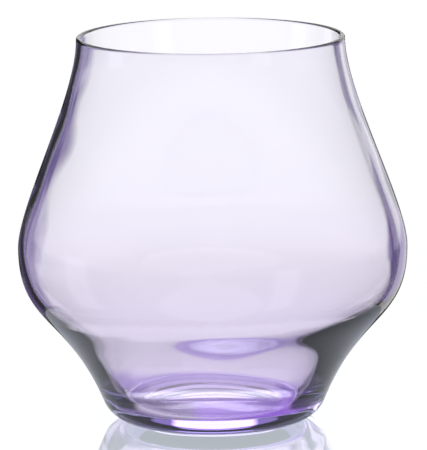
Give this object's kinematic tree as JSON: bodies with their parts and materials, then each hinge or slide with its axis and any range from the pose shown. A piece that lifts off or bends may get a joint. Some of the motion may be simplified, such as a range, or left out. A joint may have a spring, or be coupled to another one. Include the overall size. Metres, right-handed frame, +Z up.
{
  "type": "stemless wine glass",
  "caption": "Stemless wine glass of pale lilac glass: a round-bellied blown bowl narrowing to the rim, on a solid foot.",
  "frame": {"origin": "middle of the plane that the glass stands on, on its axis of turning", "axes": "+Z up along the axis of turning; X and Y are free, because the glass is the same all round"},
  "size_m": [0.1, 0.1, 0.0993],
  "materials": {
    "lilac_glass": "clear, fire-polished, tinted lilac through its thickness"
  },
  "bodies": {
    "root": {"bowl": "lilac_glass", "foot": "lilac_glass"}
  },
  "joints": []
}
